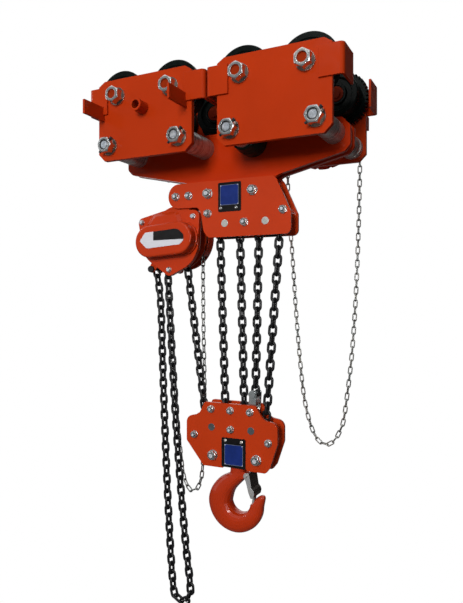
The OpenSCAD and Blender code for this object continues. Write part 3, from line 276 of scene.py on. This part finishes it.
# Painted shade: the enamel toned much darker for the axle ends and the inner rings
RED_DULL_SHADED = paint("orange_enamel_darkened_as_shade_on_axle_ends", (0.26, 0.0230, 0.0040), 0.04)
ZINC = zinc("zinc_plate", edge=0.0016)
ZINC_NUT = zinc("zinc_on_large_nuts", rough=(0.12, 0.24), edge=0.0026)
TURNED = turned("turned_sleeve")
BRIGHT = zinc("bright_rivet", (0.60, 0.60, 0.60), (0.78, 0.78, 0.76), (0.16, 0.26))
ZINC_WIRE = zinc("zinc_chain", (0.20, 0.20, 0.19), (0.42, 0.42, 0.40), (0.30, 0.45), grain=1500.0)
# Cast wheels, near black of their own, with a green tint painted in as a greenish sheen
WHEEL = dark_metal("black_cast_wheel_green_tinted_as_sheen", (0.0015, 0.0028, 0.0025), (0.004, 0.0075, 0.0062), (0.24, 0.36),
                   specular=0.07)
CHAIN = dark_metal("black_load_chain", (0.005, 0.005, 0.006), (0.014, 0.014, 0.015), (0.24, 0.38),
                   specular=0.35, pits=420.0, depth=0.0003)
BLACK = dark_metal("black_oxide", (0.008, 0.008, 0.009), (0.022, 0.022, 0.024), (0.35, 0.5))
# Dark threads; the same dark serves as a painted shade ring on the cross shafts' chamfers
THREAD_AND_SHADE_RING = dark_metal("dark_threads_and_painted_shade_rings", (0.03, 0.03, 0.03), (0.08, 0.08, 0.08), (0.35, 0.5), specular=0.4)
MACHINED = zinc("machined_iron", (0.20, 0.20, 0.20), (0.38, 0.38, 0.37), (0.28, 0.42))
LATCH = zinc("latch_plate", (0.50, 0.50, 0.51), (0.74, 0.74, 0.75), (0.20, 0.34), metal=0.7)
PIN_END = zinc("block_pin_ends", (0.10, 0.11, 0.12), (0.24, 0.25, 0.27), (0.25, 0.40), metal=0.8)
PIN_END_LIGHT = zinc("frame_pin_ends", (0.55, 0.55, 0.52), (0.80, 0.80, 0.76), (0.20, 0.34), metal=0.6)
# Painted highlights: the ends of bolts in a bright bluish white, and of the cross shafts in patchy bright grey
BOLT_END_HIGHLIGHT = zinc("bolt_ends_painted_highlight", (0.46, 0.49, 0.55), (0.86, 0.89, 0.95), (0.14, 0.28), metal=0.3, clouds=120.0)
SHAFT_END_HIGHLIGHT = zinc("shaft_ends_painted_highlight", (0.22, 0.24, 0.27), (0.74, 0.77, 0.82), (0.14, 0.30), metal=0.5, clouds=110.0)
# Painted shade: washer faces in a dark brownish grey, for their shade and the orange mirrored in them
WASHER_FACE_SHADED = zinc("washer_faces_painted_shade", (0.13, 0.09, 0.08), (0.28, 0.21, 0.18), (0.22, 0.36))
# Painted shade: the collar's green-black stands for the shaded sleeve and its dark reflection
GREEN_BLACK_SHADE = dark_metal("green_black_painted_shade_on_collar", (0.0045, 0.0130, 0.0095), (0.009, 0.021, 0.016), (0.26, 0.40),
                   specular=0.12)
# Painted shade: dark brown for the latch's web, which faces away from the light
LATCH_WEB_SHADED = dark_metal("latch_web_painted_shade", (0.020, 0.014, 0.011), (0.042, 0.030, 0.025), (0.30, 0.45),
                           specular=0.3)
FRAME_LABEL = rating_plate("frame_rating_plate", 0.0055, -0.26665, 0.0355, 0.03505)
BLOCK_LABEL = rating_plate("block_rating_plate", 0.0210, -1.1745, 0.0355, 0.0355)
NAMEPLATE = maker_plate("nameplate_foil", -0.2100, -0.3800, 0.0640, 0.0390)

# Every node takes the material of its name here, or else of the slot that the source gives it
special = {
    RED_TROLLEY_SHADED: ["near_left_side_plate", "near_right_side_plate", "end_guards", "drive_brackets"],
    RED_BEAM_SHADED: ["beam_near_plate", "beam_far_plate"],
    RED_FRAME_LIT: ["frame_near_plate", "frame_far_plate"],
    RED_COVER_LIT: ["gear_cover", "hand_wheel_cover"],
    RED_FORGED_SHADED: ["hook"],
    ZINC_NUT: ["trolley_nuts", "cross_shafts"],
    ZINC_WIRE: ["hoist_hand_chain", "trolley_hand_chain"],
    TURNED: ["spacer_sleeves"],
    CHAIN: ["load_chain_upper", "load_chain_falls", "load_chain_lower"],
    BLACK: ["split_pins"],
    MACHINED: ["crosshead"],
    LATCH: ["hook_latch"],
    FRAME_LABEL: ["frame_label"],
    BLOCK_LABEL: ["block_label"],
    NAMEPLATE: ["nameplate"],
}
by_slot = {"paint": RED, "zinc": ZINC, "cast": WHEEL, "dark_steel": BLACK}
chosen = {name: material for material, names in special.items() for name in names}
for name, o in nodes.items():
    slot = o.data.materials[0].name.split(".")[0]
    o.data.materials[0] = chosen.get(name, by_slot.get(slot, RED))


def second_look(node, material, wanted):
    """Gives material to the faces of a node whose middle is wanted."""
    me = nodes[node].data
    me.materials.append(material)
    for p in me.polygons:
        if wanted(p.center, p.normal):
            p.material_index = len(me.materials) - 1


def is_end(normal):
    """Whether a face looks along the object's Y axis, as the ends of its bolts, pins and shafts do."""
    return abs(normal.y) > 0.9


# The wheel axles' ends and their inner rings, which lie nearer the track than this, are painted over
AXLE_INNER, WASHER_INNER = 0.155, 0.150
# Their enamel is darkened as painted shade
second_look("wheel_axles", RED_DULL_SHADED, lambda c, n: is_end(n) or abs(c.y) < AXLE_INNER)
second_look("trolley_washers", RED_DULL_SHADED, lambda c, n: abs(c.y) < WASHER_INNER)
# The washers' outer faces are darkened as painted shade
second_look("trolley_washers", WASHER_FACE_SHADED, lambda c, n: abs(c.y) > WASHER_INNER and is_end(n))


def shells(me):
    """The separate shells of a mesh, each a list of its faces."""
    first, root = {}, list(range(len(me.vertices)))

    def top(k):
        while root[k] != k:
            root[k] = root[root[k]]
            k = root[k]
        return k

    for v in me.vertices:
        root[top(v.index)] = top(first.setdefault(tuple(round(q, 6) for q in v.co), v.index))
    for p in me.polygons:
        for k in p.vertices:
            root[top(k)] = top(p.vertices[0])
    found = {}
    for p in me.polygons:
        found.setdefault(top(p.vertices[0]), []).append(p)
    return list(found.values())


# The threads that stand proud of the nuts are dark, and the cross shafts' chamfers are dark as a painted shade ring;
# the ends inside them are bright as a painted highlight. Both lie on the near side, within the given length of each
# solid's end.
FLAT = 0.97
for name, highlighted_end, length in (("frame_bolts", BOLT_END_HIGHLIGHT, 0.004), ("block_bolts", BOLT_END_HIGHLIGHT, 0.004),
                                   ("hoist_ties", BOLT_END_HIGHLIGHT, 0.002), ("cross_shafts", SHAFT_END_HIGHLIGHT, 0.004)):
    me = nodes[name].data
    me.materials.append(THREAD_AND_SHADE_RING)
    me.materials.append(highlighted_end)
    for shell in shells(me):
        end = min(me.vertices[k].co.y for p in shell for k in p.vertices)
        for p in shell:
            if p.center.y < end + length:
                p.material_index = 1 if abs(p.normal.y) < FLAT else 2
second_look("upper_sheave_pins", PIN_END_LIGHT, lambda c, n: is_end(n))
second_look("block_sheave_pins", PIN_END, lambda c, n: is_end(n))
# The latch is bright where the light falls, and its bent web, where it faces +X, is dark brown as painted shade
second_look("hook_latch", LATCH_WEB_SHADED, lambda c, n: n.x > 0.35 and abs(c.y) < 0.0325)
# The slack chain's anchor pin is blacked
second_look("hoist_ties", BLACK, lambda c, n: -0.340 < c.x < -0.305 and c.z < -0.500)


def turned_piece(name, body, material, x, z, profile, n=48):
    """Solid of revolution round an axis along Y at (x, z), from its profile of [radius, y] pairs."""
    verts = [(x + r * math.cos(i * math.tau / n), y, z + r * math.sin(i * math.tau / n))
             for r, y in profile for i in range(n)]
    faces = [(k * n + i, k * n + (i + 1) % n, (k + 1) * n + (i + 1) % n, (k + 1) * n + i)
             for k in range(len(profile) - 1) for i in range(n)]
    mesh = bpy.data.meshes.new(name)
    mesh.from_pydata(verts, [], faces)
    mesh.materials.append(material)
    mesh.shade_smooth()
    o = bpy.data.objects.new(name, mesh)
    scene.collection.objects.link(o)
    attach(o, body)


def rivet(name, body, x, y, z, r=0.006):
    """Blind rivet on a face at y: a domed head, hollow in the middle where its mandrel broke off."""
    profile = [(1.0, 0.0), (1.0, 0.12), (0.92, 0.28), (0.72, 0.46), (0.48, 0.56), (0.34, 0.55), (0.29, 0.32),
               (0.20, 0.24), (0.01, 0.27)]
    turned_piece(name, body, BRIGHT, x, z, [(r * a, y - r * b) for a, b in profile], 32)


rivet("frame_plate_rivet_left", "trolley_and_frame", -0.0275, -0.0408, -0.3115)
rivet("frame_plate_rivet_right", "trolley_and_frame", 0.0325, -0.0408, -0.3125)
rivet("block_plate_rivet_left", "hook_block", -0.0110, -0.0380, -1.1262)
rivet("block_plate_rivet_right", "hook_block", 0.0510, -0.0380, -1.1272)

# A green-black collar piece on the near sleeve of the right trolley's inner cross shaft, against the beam: its dark
# green-black is painted shade and dark reflection, where the sleeve lies in the side plate's shadow. It shows under
# the side plate, and the dark form there in the photo gives its size.
COLLAR = [(0.0375, -0.0310), (0.0462, -0.0310), (0.0487, -0.0318), (0.0500, -0.0340), (0.0500, -0.0760),
          (0.0492, -0.0785), (0.0475, -0.0805), (0.0445, -0.1180), (0.0430, -0.1210), (0.0400, -0.1220),
          (0.0375, -0.1220)]
turned_piece("near_right_shaft_dark_collar_as_shade", "trolley_and_frame", GREEN_BLACK_SHADE, 0.096, -0.095, COLLAR, 72)

# The falls of load chain shorten as the block rises. It keeps this share of their triangles, to stay under 200,000.
FALLS_SHARE = 0.42
solid = nodes["load_chain_falls"]
falls = bpy.data.objects.new("load_chain_falls_flexing", solid.data.copy())
falls.matrix_world = solid.matrix_world.copy()
scene.collection.objects.link(falls)
lighter = falls.modifiers.new("fewer_triangles", "DECIMATE")
lighter.ratio = FALLS_SHARE
bpy.context.view_layer.update()
falls.data = bpy.data.meshes.new_from_object(falls.evaluated_get(bpy.context.evaluated_depsgraph_get()))
falls.modifiers.clear()
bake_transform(falls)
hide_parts("load_chain_falls")

# Stage: a lit floor that is white to the camera, and dark flags that the camera doesn't see

FLOOR_Z, FLOOR_HALF, FLOOR_TONE = -2.0, 30, 0.14
FRONT_TONE, DARK_TONE = 0.28, 0.03
SOFT_LIGHT = 0.38


def stage_panel(name, corners, tone, lit=False):
    """A lit panel is a surface of that tone, white to the camera. Any other is hidden from the camera, throws no
    shadow and shows a plain tone."""
    mesh = bpy.data.meshes.new(name)
    mesh.from_pydata(corners, [], [(0, 1, 2, 3)])
    o = bpy.data.objects.new(name, mesh)
    scene.collection.objects.link(o)
    t = Tree(name)
    t.bsdf.inputs["Base Color"].default_value = (tone, tone, tone, 1)
    t.set(rough=0.9, specular=0.1)
    glow = t.nodes.new("ShaderNodeEmission")
    shade = t.nodes.new("ShaderNodeEmission")
    shade.inputs["Strength"].default_value = tone
    mixed = t.nodes.new("ShaderNodeMixShader")
    t.link(t.nodes.new("ShaderNodeLightPath").outputs["Is Camera Ray"], mixed.inputs["Fac"])
    t.link(t.bsdf.outputs["BSDF"] if lit else shade.outputs["Emission"], mixed.inputs[1])
    t.link(glow.outputs["Emission"], mixed.inputs[2])
    t.link(mixed.outputs["Shader"], t.nodes["Material Output"].inputs["Surface"])
    mesh.materials.append(t.material)
    o.visible_shadow = o.visible_camera = lit
    return o


def upright(foot_a, foot_b, top):
    """Corners of an upright panel over two points of the floor."""
    return [(*foot_a, FLOOR_Z), (*foot_b, FLOOR_Z), (*foot_b, top), (*foot_a, top)]


stage_panel("floor", [(x * FLOOR_HALF, y * FLOOR_HALF, FLOOR_Z) for x, y in ((-1, -1), (1, -1), (1, 1), (-1, 1))],
            FLOOR_TONE, lit=True)
front = stage_panel("flag_front", upright((-4.4, -2.2), (0.9, -4.6), 3.4), FRONT_TONE)
front.visible_diffuse = False
stage_panel("flag_right", upright((2.6, -1.5), (3.0, 2.5), 3.2), DARK_TONE)
stage_panel("flag_back", upright((3.0, 2.5), (0.9, 5.4), 3.2), DARK_TONE)

# World: soft light on the object, and white to the camera and in reflections
world = bpy.data.worlds.new("studio")
scene.world = world
world.use_nodes = True
wn, wl = world.node_tree.nodes, world.node_tree.links
soft = wn["Background"]
soft.inputs["Color"].default_value = (1, 1, 1, 1)
soft.inputs["Strength"].default_value = SOFT_LIGHT
white = wn.new("ShaderNodeBackground")
white.inputs["Color"].default_value = (1, 1, 1, 1)
white.inputs["Strength"].default_value = 1.0
ray = wn.new("ShaderNodeLightPath")
seen = ray.outputs["Is Camera Ray"]
for kind in ("Is Glossy Ray", "Is Transmission Ray"):
    either = wn.new("ShaderNodeMath")
    either.operation = "MAXIMUM"
    wl.new(seen, either.inputs[0])
    wl.new(ray.outputs[kind], either.inputs[1])
    seen = either.outputs[0]
backdrop = wn.new("ShaderNodeMixShader")
wl.new(seen, backdrop.inputs["Fac"])
wl.new(soft.outputs["Background"], backdrop.inputs[1])
wl.new(white.outputs["Background"], backdrop.inputs[2])
wl.new(backdrop.outputs["Shader"], wn["World Output"].inputs["Surface"])


def area_light(name, location, target, size, power, height=None):
    """Rectangular lamp that faces target: size wide, height or size high, in metres, and power in watts."""
    light = bpy.data.lights.new(name, "AREA")
    light.shape = "RECTANGLE"
    light.size = size
    light.size_y = height or size
    light.energy = power
    o = bpy.data.objects.new(name, light)
    o.location = location
    o.rotation_euler = (Vector(target) - Vector(location)).to_track_quat("-Z", "Y").to_euler()
    scene.collection.objects.link(o)
    return o


# Two lamps light the object and aren't mirrored in it, and four show as glints alone
area_light("key", (0.55, -5.9, 0.95), (0, 0, -0.45), 1.8, 275).visible_glossy = False
area_light("fill_behind", (-1.8, 5.6, 1.2), (0, 0, -0.45), 1.8, 250).visible_glossy = False
for glint in (area_light("glint_left", (-3.9, -2.6, 1.2), (0, 0, -0.7), 0.4, 32),
              area_light("glint_front", (-0.4, -4.4, 2.4), (0, 0, -0.7), 0.4, 32),
              area_light("glint_side", (2.5, -1.9, -0.3), (0, 0, -0.4), 1.1, 26, 1.6),
              area_light("glint_hook", (0.70, -1.14, -0.65), (0.02, -0.03, -1.4), 0.18, 3.4)):
    glint.visible_diffuse = False
    glint.visible_camera = False
